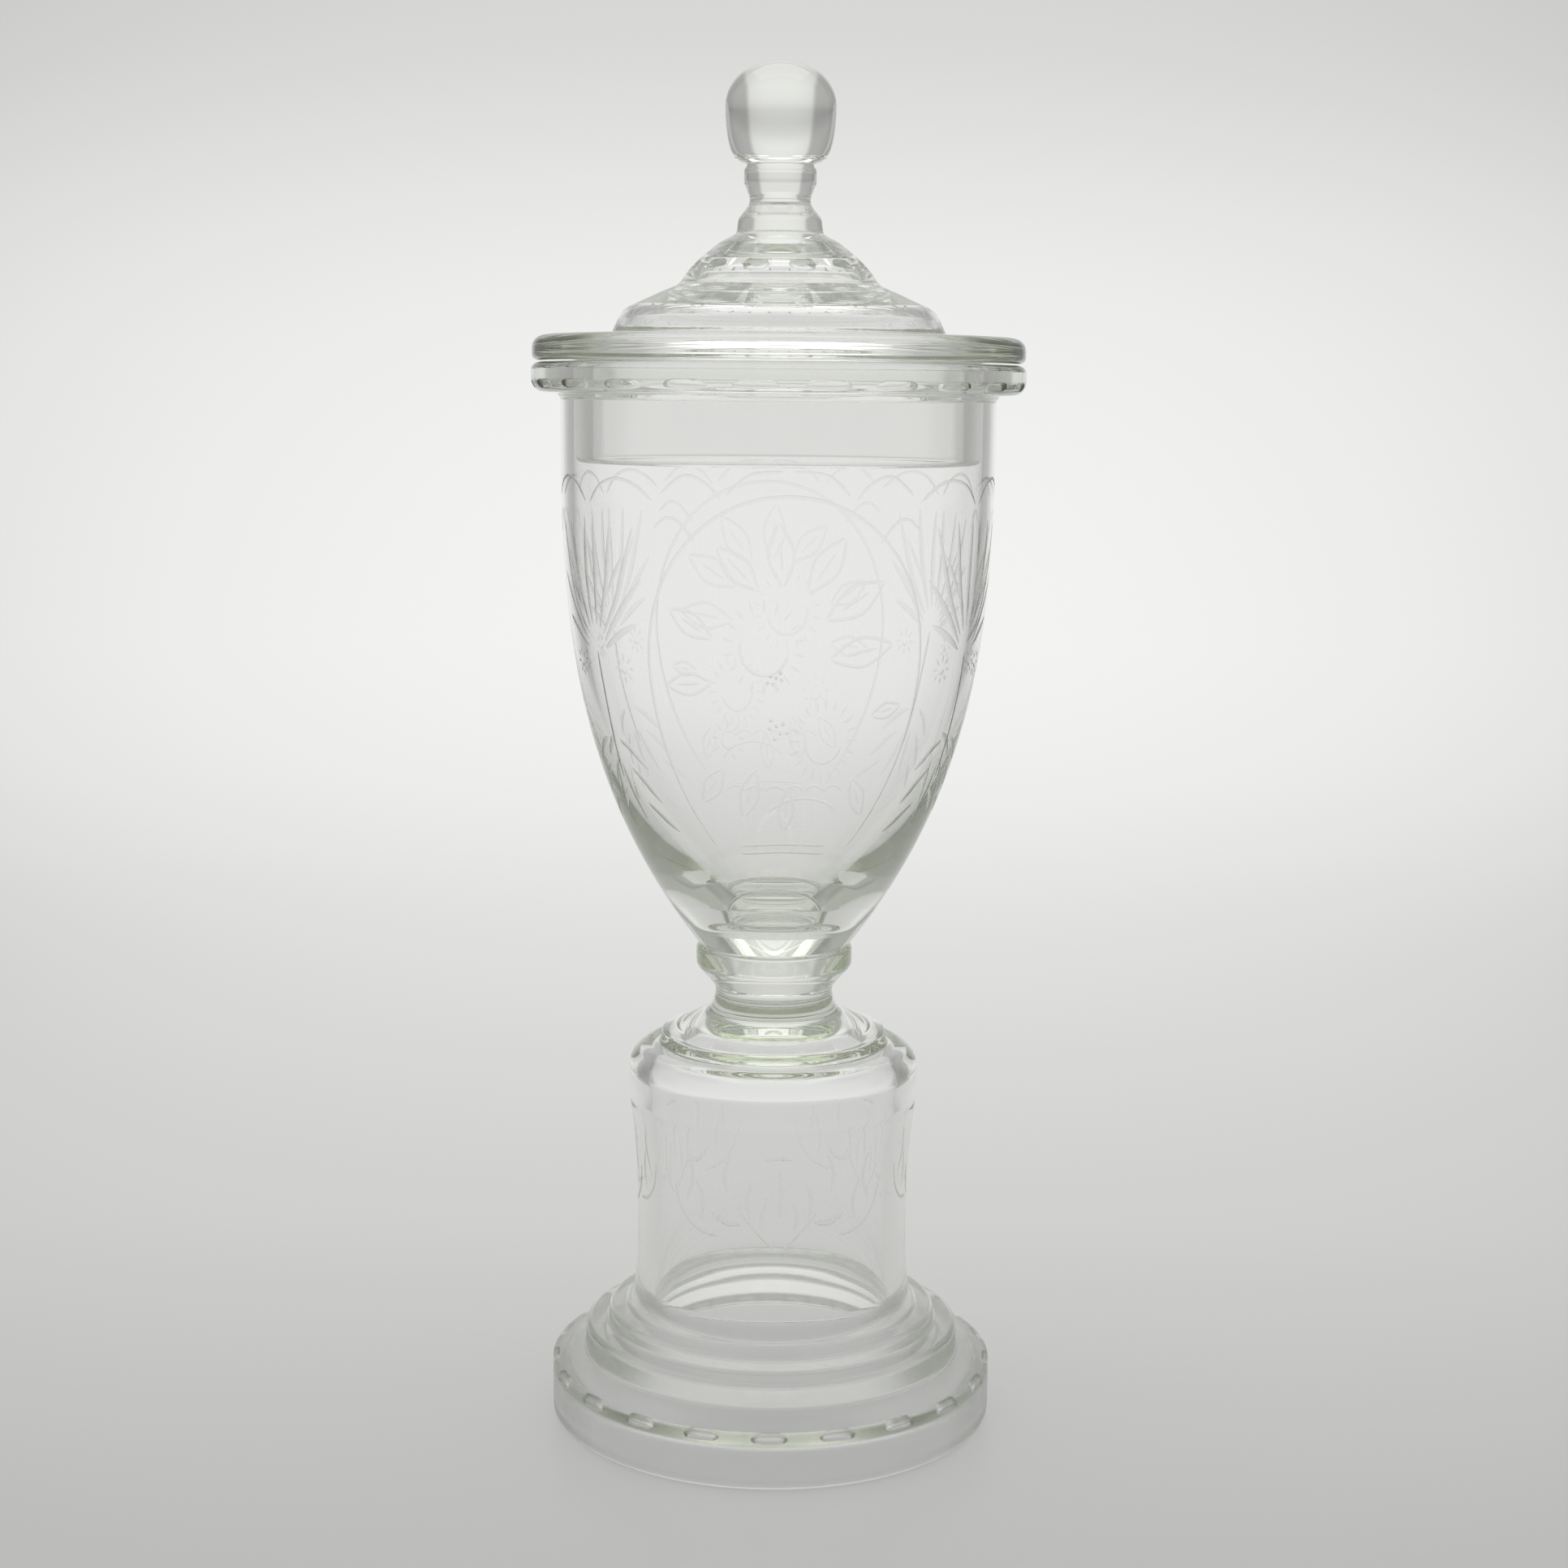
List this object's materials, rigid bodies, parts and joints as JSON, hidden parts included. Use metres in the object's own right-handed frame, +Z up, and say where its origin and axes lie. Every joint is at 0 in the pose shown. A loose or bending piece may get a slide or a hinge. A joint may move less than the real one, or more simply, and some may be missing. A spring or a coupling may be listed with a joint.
{
  "type": "covered glass goblet",
  "caption": "Tall covered goblet of clear glass: domed cover with ball finial, full bowl, short stem, hollow drum pedestal and stepped round foot.",
  "frame": {"origin": "centre of the ring that the foot stands on, at the level of the table", "axes": "+Z up along the axis that every piece is turned round; -Y is the side seen in the picture"},
  "size_m": [0.107, 0.107, 0.3],
  "materials": {
    "glass": "polished"
  },
  "bodies": {
    "goblet": {"foot_plinth": "glass", "foot_lower_ring": "glass", "foot_upper_ring": "glass", "pedestal_drum": "glass", "pedestal_cap": "glass", "stem_neck": "glass", "stem_collar": "glass", "bowl": "glass", "bowl_rim": "glass"},
    "cover": {"cover_fitting_ring": "glass", "cover_flange": "glass", "cover_dome": "glass", "cover_bell": "glass", "finial_collar": "glass", "finial_knop": "glass", "finial_ball": "glass"}
  },
  "joints": [
    {"name": "cover_lift", "type": "slide", "parent": "goblet", "child": "cover", "axis": [0, 0, 1], "range_m": [0, 0.08]}
  ]
}
